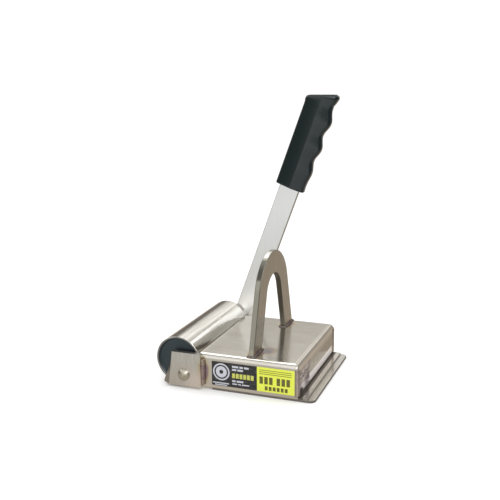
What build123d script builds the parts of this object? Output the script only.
"""Hand lever-release lifting magnet: a stainless box of poles and ferrite under a welded bail,
with an eccentric cam roller at its left end that a long gripped lever turns to break the
magnet off its load.  Millimetres, +Z up.  The origin is on the underside, below the bail."""
from build123d import *

import os
from math import asin, atan2, cos, degrees, radians, sin, tan

os.makedirs("parts", exist_ok=True)

# ---------------------------------------------------------------- driving dimensions
# Housing: a folded sheet box, its ends at house_left and house_right
house_left = -59.5
house_right = 56.0
house_half_width = 77.0
house_top = 41.5
sheet = 1.6
fit_gap = 0.2
running_gap = 0.1
broken_edge = 0.6
bend_radius = 5.5
seam_radius = 2.0
seam_bead_rise = 0.7
end_wall = 3.0
end_foot_right = -43.2
end_bend_radius = 2.5

# Base plate under the poles, running on past the right end as the heel ledge
base_left = -44.7
base_thickness = 2.5
ledge_length = 18.4
ledge_corner_radius = 7.0
heel_strip_width = 10.5
heel_strip_thickness = 2.0
heel_strip_inset = 1.2
heel_strip_corner_radius = 2.5
heel_weld_leg = 2.4
heel_weld_end_gap = 3.0
heel_weld_radius = 5.3

# Pole and magnet stack inside the housing
pole_count = 4
pole_thickness = 10.0
pole_pitch = 28.0
first_pole_x = -37.5
pole_half_length = 73.0
pole_height = 33.5
window_clearance = 0.15
blocks_per_row = 3
block_gap = 1.0
magnet_height = 26.0
carrier_thickness = 6.0
screw_radius = 2.5
screw_head_radius = 4.6
screw_depth = 12.0
screw_y = 50.0
screw_head_sink = 0.2
thread_clearance = 0.05
tapping_run_out = 1.0
socket_radius = 1.8
socket_depth = 2.2

# Ears and the pivot pin that they hold
ear_thickness = 6.35
ear_bottom = 2.5
front_ear_top = 42.0
rear_ear_top = 38.0
ear_right = -56.0
ear_bevel_back = (-105.0, -91.6)
ear_bevel_face = (-95.6, -91.0)
front_ear_corner_radius = 1.5
rear_ear_corner_radius = 6.0
rear_ear_right = -44.0
rear_ear_gap = 1.55
ear_block_left = -55.0
ear_block_bottom = 4.0
ear_block_top = 28.0
ear_weld_leg = 4.0
pin_x = -76.7
pin_z = 16.0
pin_radius = 4.76
pin_hole_radius = 4.82
pin_head_radius = 7.0
pin_head_height = 4.5
pin_head_rim = 1.2
pin_tail = 7.5
pin_end_chamfer = 1.0
washer_thickness = 1.5
washer_radius = 10.0
cotter_radius = 1.3
cotter_eye_radius = 2.6
cotter_wire_radius = 0.9
cotter_tail_length = 6.0
cotter_tail_spread = 38
front_thrust_radius = 6.0
rear_thrust_radius = 10.5

# Cam roller: a tube set off-centre on the pin
cam_x = -86.9
cam_z = 30.4
cam_radius = 27.0
cam_wall = 2.2
cam_front_y = -76.0
cam_recess = 3.0
cam_rim_chamfer = 0.4
disc_thickness = 6.0
disc_radius = cam_radius - cam_wall - 0.1
disc_weld_leg = 1.4

# Lever bar, leaning to the right at rest, and its finger grip
lever_lean = 20.2
lever_front_y = 77.6
lever_thickness = 6.35
lever_width = 25.4
lever_offset = 1.7
lever_length = 318.0
grip_start = 208.5
grip_thickness = 19.0
grip_edge_chamfer = 3.2
side_bead_length = 40.0
side_bead_width = 3.0
side_bead_middle = 11.0
rim_bead = 2.0
rim_bead_start = 36.0
rim_bead_end = 62.0

# Bail: one plate cut as an upturned U, standing across the housing
bail_thickness = 6.35
bail_band = 27.0
bail_arc_radius = 53.0
bail_arc_z = 94.5
bail_leg_slant = 16.9
bail_weld_leg = 4.0
bail_edge_chamfer = 0.7

# Decals on the front face
decal_thickness = 0.3
decal_corner_radius = 0.8
decal_left = -44.7
decal_split = 9.0
decal_right = 52.1
decal_bottom = 6.2
decal_top = 34.3

# ---------------------------------------------------------------- derived places
house_bottom = base_thickness
house_inside_top = house_top - sheet
house_inside_half_width = house_half_width - sheet
ledge_right = house_right + ledge_length
pole_xs = [first_pole_x + pole_pitch * i for i in range(pole_count)]
row_xs = [x + pole_pitch / 2 for x in pole_xs[:-1]]
row_width = pole_pitch - pole_thickness
stack_left = pole_xs[0] - pole_thickness / 2
stack_right = pole_xs[-1] + pole_thickness / 2
lever_rear_y = lever_front_y + lever_thickness
rear_ear_front_y = lever_rear_y + rear_ear_gap
rear_ear_rear_y = rear_ear_front_y + ear_thickness
front_ear_front_y = -house_half_width - ear_thickness


def block(x0, x1, y0, y1, z0, z1):
    """Add a plain block between two corners to the part being built."""
    with Locations(((x0 + x1) / 2, (y0 + y1) / 2, (z0 + z1) / 2)):
        Box(x1 - x0, y1 - y0, z1 - z0)


def plane_facing_front(y, x=0.0, z=0.0):
    """A plane square to Y whose sketch x is +X and sketch y is +Z; it extrudes towards -Y."""
    return Plane(origin=(x, y, z), x_dir=(1, 0, 0), z_dir=(0, -1, 0))


def lever_plane(y):
    """A plane on the lever: sketch x runs across the bar, sketch y up along it from the pin."""
    lean = radians(lever_lean)
    return Plane(origin=(pin_x, y, pin_z), x_dir=(cos(lean), 0, -sin(lean)), z_dir=(0, -1, 0))


# ---------------------------------------------------------------- housing
# The cover is one sheet folded down over the front, rear and right sides.
with BuildPart() as cover_outside:
    block(house_left, house_right, -house_half_width, house_half_width, house_bottom, house_top)
    top_edges = cover_outside.edges().group_by(Axis.Z)[-1]
    fillet(top_edges.filter_by(Axis.X) + top_edges.sort_by(Axis.X)[-1:], bend_radius)

with BuildPart() as housing_cover:
    add(cover_outside.part)
    seams = housing_cover.edges().filter_by(Axis.Z).group_by(Axis.X)[-1]
    fillet(seams, seam_radius)
    open_faces = [housing_cover.faces().sort_by(Axis.Z)[0], housing_cover.faces().sort_by(Axis.X)[0]]
    offset(amount=-sheet, openings=open_faces)
housing_cover.part.label = "housing_cover"
export_step(housing_cover.part, "parts/housing_cover.step")

# The left end is closed by an angle: an upright wall and a foot that turns in under the box.
with BuildPart() as left_end_angle:
    half = house_inside_half_width
    block(house_left, house_left + end_wall, -half, half, house_bottom, house_inside_top)
    top_corners = left_end_angle.edges().filter_by(Axis.X).group_by(Axis.Z)[-1]
    fillet(top_corners, bend_radius - sheet + fit_gap)
    block(house_left, base_left, -half, half, house_bottom, house_bottom + end_wall)
    block(base_left, end_foot_right, -half, half, house_bottom, house_bottom + end_wall)
    inner_bend = left_end_angle.edges().filter_by(Axis.Y).filter_by_position(
        Axis.X, house_left + end_wall - 0.1, house_left + end_wall + 0.1
    ).filter_by_position(Axis.Z, house_bottom + end_wall - 0.1, house_bottom + end_wall + 0.1)
    fillet(inner_bend, end_bend_radius)
left_end_angle.part.label = "left_end_angle"
export_step(left_end_angle.part, "parts/left_end_angle.step")

# Seam beads up the two right-hand corners, where the folded skirts meet.
seam_top = house_top - bend_radius
seam_bottom = base_thickness + heel_strip_thickness + fit_gap
with BuildPart() as corner_seam_welds:
    for side in (-1, 1):
        bead_centre = (house_right - seam_radius, side * (house_half_width - seam_radius))
        with BuildSketch(Plane.XY.offset(seam_bottom)):
            with Locations(bead_centre):
                Circle(seam_radius + seam_bead_rise)
        extrude(amount=seam_top - seam_bottom)
    with BuildPart(mode=Mode.PRIVATE) as cover_core:
        add(cover_outside.part)
        fillet(cover_core.edges().filter_by(Axis.Z).group_by(Axis.X)[-1], seam_radius)
    add(cover_core.part, mode=Mode.SUBTRACT)
corner_seam_welds.part.label = "corner_seam_welds"
export_step(corner_seam_welds.part, "parts/corner_seam_welds.step")

# ---------------------------------------------------------------- base plate and heel
# The poles come down through windows in the base plate and finish flush with its underside.
with BuildPart() as base_plate:
    block(base_left, ledge_right, -house_half_width, house_half_width, 0, base_thickness)
    fillet(base_plate.edges().filter_by(Axis.Z).group_by(Axis.X)[-1], ledge_corner_radius)
    with Locations([(x, 0, base_thickness / 2) for x in pole_xs]):
        window = pole_thickness + 2 * window_clearance
        Box(window, 2 * (pole_half_length + window_clearance), base_thickness, mode=Mode.SUBTRACT)
    chamfer(base_plate.faces().sort_by(Axis.X)[-1].edges().sort_by(Axis.Z)[-1:], broken_edge)
base_plate.part.label = "base_plate"
export_step(base_plate.part, "parts/base_plate.step")

# A narrower strip doubles the ledge against the end of the housing.
strip_half = house_half_width - heel_strip_inset
strip_top = base_thickness + heel_strip_thickness
with BuildPart() as heel_strip:
    block(house_right, house_right + heel_strip_width, -strip_half, strip_half, base_thickness, strip_top)
    fillet(heel_strip.edges().filter_by(Axis.Z).group_by(Axis.X)[-1], heel_strip_corner_radius)
    chamfer(heel_strip.faces().sort_by(Axis.X)[-1].edges().sort_by(Axis.Z)[-1:], broken_edge)
heel_strip.part.label = "heel_strip"
export_step(heel_strip.part, "parts/heel_strip.step")

# A fillet weld along the foot of the end face holds the strip down.
with BuildPart() as heel_weld:
    weld_half = strip_half - heel_weld_end_gap
    with BuildSketch(plane_facing_front(weld_half)):
        with BuildLine():
            corner = (house_right, strip_top)
            toe_up = (house_right, strip_top + heel_weld_leg)
            toe_out = (house_right + heel_weld_leg, strip_top)
            Line(corner, toe_up)
            RadiusArc(toe_up, toe_out, -heel_weld_radius)
            Line(toe_out, corner)
        make_face()
    extrude(amount=2 * weld_half)
heel_weld.part.label = "heel_weld"
export_step(heel_weld.part, "parts/heel_weld.step")

# ---------------------------------------------------------------- poles and magnets
with BuildPart() as pole_bars:
    with Locations([(x, 0, pole_height / 2) for x in pole_xs]):
        Box(pole_thickness, 2 * pole_half_length, pole_height)
    with Locations([(x, y, pole_height) for x in pole_xs for y in (-screw_y, screw_y)]):
        Hole(screw_radius + thread_clearance, depth=screw_depth + tapping_run_out)
pole_bars.part.label = "pole_bars"
export_step(pole_bars.part, "parts/pole_bars.step")

# Ferrite blocks stand between the poles, three to a row, magnetised across the row.
block_length = (2 * pole_half_length - block_gap * (blocks_per_row - 1)) / blocks_per_row
block_pitch = block_length + block_gap
with BuildPart() as magnet_blocks:
    for x in row_xs:
        with Locations((x, 0, house_bottom + magnet_height / 2)):
            with GridLocations(1, block_pitch, 1, blocks_per_row):
                Box(row_width, block_length, magnet_height)
magnet_blocks.part.label = "magnet_blocks"
export_step(magnet_blocks.part, "parts/magnet_blocks.step")

# Aluminium bars over the ferrite hold the poles apart.
spacer_bottom = house_bottom + magnet_height
with BuildPart() as pole_spacers:
    with Locations([(x, 0, (spacer_bottom + pole_height) / 2) for x in row_xs]):
        Box(row_width, 2 * pole_half_length, pole_height - spacer_bottom)
pole_spacers.part.label = "pole_spacers"
export_step(pole_spacers.part, "parts/pole_spacers.step")

# A non-magnetic carrier plate ties the poles together from above.
carrier_top = pole_height + carrier_thickness
screw_places = [(x, y, carrier_top) for x in pole_xs for y in (-screw_y, screw_y)]
with BuildPart() as carrier_plate:
    block(stack_left, stack_right, -pole_half_length, pole_half_length, pole_height, carrier_top)
    with Locations(screw_places):
        CounterSinkHole(screw_radius + fit_gap, screw_head_radius, counter_sink_angle=90)
carrier_plate.part.label = "carrier_plate"
export_step(carrier_plate.part, "parts/carrier_plate.step")

# Countersunk screws, each with a hexagon socket.
with BuildPart() as carrier_screws:
    for place in screw_places:
        with BuildSketch(Plane(origin=place, x_dir=(1, 0, 0), z_dir=(0, -1, 0))):
            with BuildLine():
                head_edge = screw_head_radius - fit_gap - 0.1
                reach = carrier_thickness + screw_depth
                Polyline(
                    (0, -screw_head_sink),
                    (head_edge, -screw_head_sink),
                    (screw_radius, -screw_head_sink - (head_edge - screw_radius)),
                    (screw_radius, -reach),
                    (0, -reach),
                    close=True,
                )
            make_face()
        revolve(axis=Axis(place, (0, 0, 1)))
        with BuildSketch(Plane.XY.offset(carrier_top - screw_head_sink)):
            with Locations((place[0], place[1])):
                RegularPolygon(socket_radius, 6)
        extrude(amount=-socket_depth, mode=Mode.SUBTRACT)
carrier_screws.part.label = "carrier_screws"
export_step(carrier_screws.part, "parts/carrier_screws.step")

# Cast resin fills the space between the left end and the first pole.
with BuildPart() as resin_fill:
    resin_left = house_left + end_wall + fit_gap
    resin_right = stack_left - fit_gap
    resin_bottom = house_bottom + end_wall + fit_gap
    block(resin_left, resin_right, -pole_half_length, pole_half_length, resin_bottom, carrier_top)
    chamfer(resin_fill.edges().filter_by(Axis.Y).group_by(Axis.Z)[0].sort_by(Axis.X)[:1], end_bend_radius)
resin_fill.part.label = "resin_fill"
export_step(resin_fill.part, "parts/resin_fill.step")

# ---------------------------------------------------------------- ears
# Each ear narrows upwards, and its outer left corner is ground to a long bevel.


def ear_outline(level, outer_y, inner_y, right):
    """The corners of the ear's section at its foot (level 0) or its top (level 1)."""
    back_corner = (ear_bevel_back[level], inner_y)
    face_corner = (ear_bevel_face[level], outer_y)
    return [back_corner, (right, inner_y), (right, outer_y), face_corner]


with BuildPart() as front_ear:
    with BuildSketch(Plane.XY.offset(ear_bottom)):
        Polygon(*ear_outline(0, front_ear_front_y, -house_half_width, ear_right), align=None)
    with BuildSketch(Plane.XY.offset(front_ear_top)):
        Polygon(*ear_outline(1, front_ear_front_y, -house_half_width, ear_right), align=None)
    loft(ruled=True)
    fillet(front_ear.edges().filter_by(Axis.Y).sort_by(Axis.X)[-2:], front_ear_corner_radius)
    with Locations(Location((pin_x, -house_half_width - ear_thickness / 2, pin_z), (90, 0, 0))):
        Hole(pin_hole_radius)
front_ear.part.label = "front_ear"
export_step(front_ear.part, "parts/front_ear.step")

# The rear ear stands clear of the housing, so that the lever bar swings between them.
with BuildPart() as rear_ear:
    with BuildSketch(Plane.XY.offset(ear_bottom)):
        Polygon(*ear_outline(0, rear_ear_rear_y, rear_ear_front_y, rear_ear_right), align=None)
    with BuildSketch(Plane.XY.offset(rear_ear_top)):
        Polygon(*ear_outline(1, rear_ear_rear_y, rear_ear_front_y, rear_ear_right), align=None)
    loft(ruled=True)
    fillet(rear_ear.edges().filter_by(Axis.Y).sort_by(Axis.X)[-2:], rear_ear_corner_radius)
    with Locations(Location((pin_x, rear_ear_front_y + ear_thickness / 2, pin_z), (90, 0, 0))):
        Hole(pin_hole_radius)
rear_ear.part.label = "rear_ear"
export_step(rear_ear.part, "parts/rear_ear.step")

# A block welded to the housing carries the rear ear.
with BuildPart() as rear_ear_block:
    block(
        ear_block_left, rear_ear_right, house_half_width, rear_ear_front_y, ear_block_bottom, ear_block_top
    )
    chamfer(rear_ear_block.edges().filter_by(Axis.Y).group_by(Axis.Z)[-1], 2 * broken_edge)
rear_ear_block.part.label = "rear_ear_block"
export_step(rear_ear_block.part, "parts/rear_ear_block.step")

# Fillet welds: the front ear to the housing, and the block to both housing and rear ear.
ear_beads = (
    (ear_right, -1, ear_bottom + 2.5, seam_top),
    (rear_ear_right, 1, ear_block_bottom + 2.0, ear_block_top - 3.0),
)
bead_crown = 0.6 * ear_weld_leg
with BuildPart() as ear_welds:
    for corner_x, side, bead_bottom, bead_top in ear_beads:
        with BuildSketch(Plane.XY.offset(bead_bottom)):
            with BuildLine():
                corner = (corner_x, side * house_half_width)
                toe_along = (corner_x + ear_weld_leg, corner[1])
                toe_out = (corner_x, corner[1] + side * ear_weld_leg)
                crown = (corner_x + bead_crown, corner[1] + side * bead_crown)
                Line(corner, toe_along)
                ThreePointArc(toe_along, crown, toe_out)
                Line(toe_out, corner)
            make_face()
        extrude(amount=bead_top - bead_bottom)
ear_welds.part.label = "ear_welds"
export_step(ear_welds.part, "parts/ear_welds.step")

# ---------------------------------------------------------------- pivot pin
# The pin has a domed head in front and a washer and cotter behind.
pin_end_y = rear_ear_rear_y + pin_tail
cotter_y = rear_ear_rear_y + washer_thickness + cotter_radius + 0.6
with BuildPart() as pivot_pin:
    with BuildSketch(Plane(origin=(pin_x, 0, pin_z), x_dir=(1, 0, 0), z_dir=(0, 0, 1))):
        with BuildLine():
            head_y = front_ear_front_y
            dome_edge = (pin_head_radius, head_y - pin_head_rim)
            dome_tip = (0, head_y - pin_head_height)
            Polyline(
                dome_tip,
                (0, pin_end_y),
                (pin_radius - pin_end_chamfer, pin_end_y),
                (pin_radius, pin_end_y - pin_end_chamfer),
                (pin_radius, head_y),
                (pin_head_radius, head_y),
                dome_edge,
            )
            dome_height = pin_head_height - pin_head_rim
            dome_radius = (pin_head_radius**2 + dome_height**2) / (2 * dome_height)
            half_angle = asin(pin_head_radius / dome_radius) / 2
            dome_mid = (dome_radius * sin(half_angle), dome_tip[1] + dome_radius * (1 - cos(half_angle)))
            ThreePointArc(dome_edge, dome_mid, dome_tip)
        make_face()
    revolve(axis=Axis((pin_x, 0, pin_z), (0, 1, 0)))
    with Locations((pin_x, cotter_y, pin_z)):
        Cylinder(cotter_radius + fit_gap, 2.5 * pin_radius, mode=Mode.SUBTRACT)
pivot_pin.part.label = "pivot_pin"
export_step(pivot_pin.part, "parts/pivot_pin.step")


with BuildPart() as pin_washer:
    with BuildSketch(plane_facing_front(rear_ear_rear_y + washer_thickness, pin_x, pin_z)):
        Circle(washer_radius)
        Circle(pin_radius + fit_gap, mode=Mode.SUBTRACT)
    extrude(amount=washer_thickness)
pin_washer.part.label = "pin_washer"
export_step(pin_washer.part, "parts/pin_washer.step")

# Split cotter: an eye above the pin, a straight shank through it and two spread tails below.
with BuildPart() as cotter_pin:
    half_shank = pin_radius + 1.0
    eye_z = pin_z + half_shank + cotter_eye_radius
    tail_z = pin_z - half_shank + cotter_wire_radius
    with Locations((pin_x, cotter_y, pin_z)):
        Cylinder(cotter_radius, 2 * half_shank)
    with Locations(Location((pin_x, cotter_y, eye_z), (90, 0, 0))):
        Torus(cotter_eye_radius, cotter_wire_radius)
    for side in (-1, 1):
        with Locations(Location((pin_x, cotter_y, tail_z), (0, side * cotter_tail_spread, 0))):
            end_up = (Align.CENTER, Align.CENTER, Align.MAX)
            Cylinder(cotter_wire_radius, cotter_tail_length, align=end_up)
cotter_pin.part.label = "cotter_pin"
export_step(cotter_pin.part, "parts/cotter_pin.step")

# Thrust washers keep the cam and lever off the ears.
front_disc_y = cam_front_y + cam_recess
thrust_rings = (
    (-house_half_width, front_disc_y - running_gap, front_thrust_radius),
    (lever_rear_y + running_gap, rear_ear_front_y, rear_thrust_radius),
)
with BuildPart() as thrust_washers:
    for near_y, far_y, outer_radius in thrust_rings:
        with BuildSketch(plane_facing_front(far_y, pin_x, pin_z)):
            Circle(outer_radius)
            Circle(pin_radius + running_gap, mode=Mode.SUBTRACT)
        extrude(amount=far_y - near_y)
thrust_washers.part.label = "thrust_washers"
export_step(thrust_washers.part, "parts/thrust_washers.step")

# ---------------------------------------------------------------- bail
leg_slant = radians(bail_leg_slant)


def bail_outline(radius):
    """Where one outline of the bail leaves its arc, and where its straight leg meets the housing."""
    tangent_y = radius * cos(leg_slant)
    tangent_z = bail_arc_z + radius * sin(leg_slant)
    foot_y = tangent_y + (tangent_z - house_top) * tan(leg_slant)
    return tangent_y, tangent_z, foot_y


bail_foot_outer = bail_outline(bail_arc_radius)[2]
bail_foot_inner = bail_outline(bail_arc_radius - bail_band)[2]
with BuildPart() as bail:
    with BuildSketch(Plane.YZ.offset(-bail_thickness / 2)):
        for radius, mode in ((bail_arc_radius, Mode.ADD), (bail_arc_radius - bail_band, Mode.SUBTRACT)):
            side_y, side_z, foot_y = bail_outline(radius)
            with BuildLine():
                Line((-foot_y, house_top), (-side_y, side_z))
                ThreePointArc((-side_y, side_z), (0, bail_arc_z + radius), (side_y, side_z))
                Polyline((side_y, side_z), (foot_y, house_top), (-foot_y, house_top))
            make_face(mode=mode)
    extrude(amount=bail_thickness)
    side_faces = bail.faces().filter_by(Axis.X)
    above_feet = house_top + 1
    bail_top = bail_arc_z + bail_arc_radius
    chamfer(side_faces.edges().filter_by_position(Axis.Z, above_feet, bail_top), bail_edge_chamfer)
bail.part.label = "bail"
export_step(bail.part, "parts/bail.step")

# Fillet beads all round each foot of the bail.
with BuildPart() as bail_welds:
    foot_mid = (bail_foot_outer + bail_foot_inner) / 2
    foot_width = bail_foot_outer - bail_foot_inner
    lean_in = bail_weld_leg * tan(leg_slant)
    toe = 2 * bail_weld_leg
    for side in (-1, 1):
        with BuildSketch(Plane.XY.offset(house_top - sheet)):
            with Locations((0, side * foot_mid)):
                RectangleRounded(bail_thickness + toe, foot_width + toe, bail_weld_leg)
        with BuildSketch(Plane.XY.offset(house_top + bail_weld_leg)):
            with Locations((0, side * (foot_mid - lean_in))):
                RectangleRounded(bail_thickness + 1.0, foot_width + 1.0, 0.4)
        loft()
    add(cover_outside.part, mode=Mode.SUBTRACT)
    add(bail.part, mode=Mode.SUBTRACT)
bail_welds.part.label = "bail_welds"
export_step(bail_welds.part, "parts/bail_welds.step")

# ---------------------------------------------------------------- decals
with BuildPart() as ident_decal:
    face_y = -house_half_width
    block(decal_left, decal_split, face_y - decal_thickness, face_y, decal_bottom, decal_top)
    fillet(ident_decal.edges().filter_by(Axis.Y).sort_by(Axis.X)[:2], decal_corner_radius)
ident_decal.part.label = "ident_decal"
export_step(ident_decal.part, "parts/ident_decal.step")

with BuildPart() as rating_decal:
    block(decal_split, decal_right, face_y - decal_thickness, face_y, decal_bottom, decal_top)
    fillet(rating_decal.edges().filter_by(Axis.Y).sort_by(Axis.X)[-2:], decal_corner_radius)
rating_decal.part.label = "rating_decal"
export_step(rating_decal.part, "parts/rating_decal.step")

# ---------------------------------------------------------------- cam roller
with BuildPart() as cam_tube:
    with BuildSketch(plane_facing_front(lever_front_y, cam_x, cam_z)):
        Circle(cam_radius)
        Circle(cam_radius - cam_wall, mode=Mode.SUBTRACT)
    extrude(amount=lever_front_y - cam_front_y)
    chamfer(cam_tube.faces().sort_by(Axis.Y)[0].edges(), cam_rim_chamfer)
cam_tube.part.label = "cam_tube"
export_step(cam_tube.part, "parts/cam_tube.step")


# Each end of the tube is closed by a disc, bored off-centre for the pin.
disc_backs = {
    "cam_front_disc": front_disc_y + disc_thickness,
    "cam_rear_disc": lever_front_y,
}
for disc_name, back_y in disc_backs.items():
    with BuildPart() as cam_disc:
        with BuildSketch(plane_facing_front(back_y, cam_x, cam_z)):
            Circle(disc_radius)
            with Locations((pin_x - cam_x, pin_z - cam_z)):
                Circle(pin_hole_radius, mode=Mode.SUBTRACT)
        extrude(amount=disc_thickness)
    cam_disc.part.label = disc_name
    export_step(cam_disc.part, f"parts/{disc_name}.step")

# A bead round the recess joins the front disc to the tube, clear of the thrust washer.
with BuildPart() as cam_disc_weld:
    with BuildSketch(Plane(origin=(cam_x, 0, cam_z), x_dir=(1, 0, 0), z_dir=(0, 0, 1))):
        with BuildLine():
            bore = cam_radius - cam_wall
            Polyline(
                (bore, front_disc_y),
                (bore - disc_weld_leg, front_disc_y),
                (bore, front_disc_y - disc_weld_leg),
                close=True,
            )
        make_face()
    revolve(axis=Axis((cam_x, 0, cam_z), (0, 1, 0)))
    with BuildSketch(plane_facing_front(front_disc_y, pin_x, pin_z)):
        Circle(front_thrust_radius + 2 * fit_gap)
    extrude(amount=2 * disc_weld_leg, mode=Mode.SUBTRACT)
cam_disc_weld.part.label = "cam_disc_weld"
export_step(cam_disc_weld.part, "parts/cam_disc_weld.step")

# ---------------------------------------------------------------- lever
with BuildPart() as lever_bar:
    with BuildSketch(lever_plane(lever_rear_y)):
        with Locations((lever_offset, lever_length / 2)):
            Rectangle(lever_width, lever_length)
        with Locations((lever_offset, 0)):
            Circle(lever_width / 2)
        Circle(pin_hole_radius, mode=Mode.SUBTRACT)
    extrude(amount=lever_thickness)
    straight_edges = lever_bar.faces().filter_by(Axis.Y).edges().filter_by(GeomType.LINE)
    chamfer(straight_edges, broken_edge)
lever_bar.part.label = "lever_bar"
export_step(lever_bar.part, "parts/lever_bar.step")

# The bar is welded to the roller: a bead down its left edge, and one round the roller's rim.
with BuildPart() as lever_welds:
    left_edge = lever_offset - lever_width / 2
    with BuildSketch(lever_plane(lever_front_y)):
        with Locations((left_edge - 0.45 * side_bead_width, side_bead_middle)):
            SlotOverall(side_bead_length, side_bead_width, rotation=90)
    extrude(amount=-side_bead_width)
    add(lever_bar.part, mode=Mode.SUBTRACT)
    rim_angle = radians(rim_bead_start)
    rim_point = (cam_x + cam_radius * cos(rim_angle), lever_front_y, cam_z + cam_radius * sin(rim_angle))
    outward = (cos(rim_angle), 0, sin(rim_angle))
    with BuildSketch(Plane(origin=rim_point, x_dir=outward, z_dir=(-sin(rim_angle), 0, cos(rim_angle)))):
        with BuildLine():
            Polyline((0, 0), (rim_bead, 0), (0, -rim_bead), close=True)
        make_face()
    revolve(axis=Axis((cam_x, 0, cam_z), (0, -1, 0)), revolution_arc=rim_bead_end - rim_bead_start)
lever_welds.part.label = "lever_welds"
export_step(lever_welds.part, "parts/lever_welds.step")

# Dipped vinyl grip: a straight back, finger hollows down the front and a guard at the top.
with BuildPart() as hand_grip:
    grip_rear_y = lever_front_y + lever_thickness / 2 + grip_thickness / 2
    with BuildSketch(lever_plane(grip_rear_y)):
        with BuildLine():
            back_foot = (-16.3, grip_start)
            back_top = (-17.3, 315.0)
            crown_back = (-12.8, 322.8)
            crown_front = (16.0, 333.2)
            front_foot = (18.6, grip_start)
            Line(back_foot, back_top)
            ThreePointArc(back_top, (-16.2, 319.8), crown_back)
            Line(crown_back, crown_front)
            Spline(
                crown_front,
                (20.9, 330.6),
                (20.4, 324.5),
                (17.4, 316.2),
                (19.6, 308.0),
                (22.7, 299.5),
                (20.6, 289.0),
                (18.4, 281.5),
                (20.6, 274.0),
                (22.9, 265.5),
                (20.6, 256.5),
                (18.4, 248.5),
                (20.0, 241.0),
                (20.6, 234.5),
                (18.9, 226.0),
                (17.6, 219.0),
                front_foot,
            )
            Line(front_foot, back_foot)
        make_face()
    extrude(amount=grip_thickness)
    rim = hand_grip.faces().filter_by(Axis.Y).edges()
    chamfer(rim, grip_edge_chamfer)
    with BuildSketch(lever_plane(lever_rear_y + running_gap / 2)):
        with Locations((lever_offset, lever_length / 2)):
            Rectangle(lever_width + running_gap, lever_length + 2 * running_gap)
    extrude(amount=lever_thickness + running_gap, mode=Mode.SUBTRACT)
hand_grip.part.label = "hand_grip"
export_step(hand_grip.part, "parts/hand_grip.step")

# ---------------------------------------------------------------- printed summary
cam_throw = ((cam_x - pin_x) ** 2 + (cam_z - pin_z) ** 2) ** 0.5
print("cam throw", round(cam_throw, 2), "at", round(degrees(atan2(cam_z - pin_z, cam_x - pin_x)), 1))
print("bail feet", round(bail_foot_inner, 2), round(bail_foot_outer, 2))
